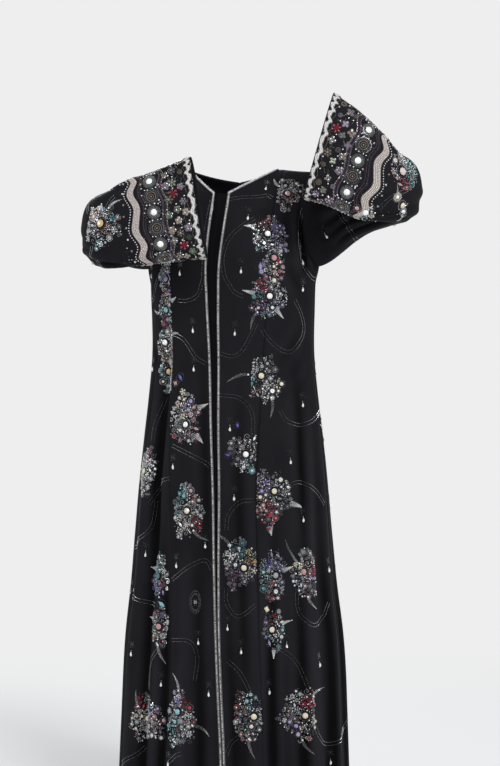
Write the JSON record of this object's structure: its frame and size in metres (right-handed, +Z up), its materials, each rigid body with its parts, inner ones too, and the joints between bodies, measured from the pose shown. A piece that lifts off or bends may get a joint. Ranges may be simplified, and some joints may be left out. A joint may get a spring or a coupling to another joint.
{
  "type": "abaya cloak",
  "caption": "Floor-length black abaya cloak held as worn with both arms raised: princess-seamed body, wide bent sleeves, beaded front edges and lace cuffs.",
  "frame": {"origin": "the point between the shoulders where the wearer carries the cloak, at the height of the shoulder seams", "axes": "+Z up, -Y the front of the cloak, +X the wearer's left"},
  "size_m": [0.7458, 0.464, 1.5596],
  "materials": {
    "black_crepe": "soft matt crepe with a faint sheen, sewn with beads",
    "beaded_trim": "close rows of small pale beads",
    "white_lace": "scalloped braid lace with small pink dots",
    "rose_tape": "wavy ribbed tape"
  },
  "bodies": {
    "root": {"front_centre_left": "black_crepe", "front_centre_right": "black_crepe", "front_side_left": "black_crepe", "front_side_right": "black_crepe", "back": "black_crepe", "placket": "black_crepe", "sleeve_left": "black_crepe", "sleeve_right": "black_crepe", "front_trim_left": "beaded_trim", "front_trim_right": "beaded_trim", "cuff_lace_left": "white_lace", "cuff_lace_right": "white_lace", "sleeve_tape_left": "rose_tape", "sleeve_tape_right": "rose_tape"}
  },
  "joints": []
}
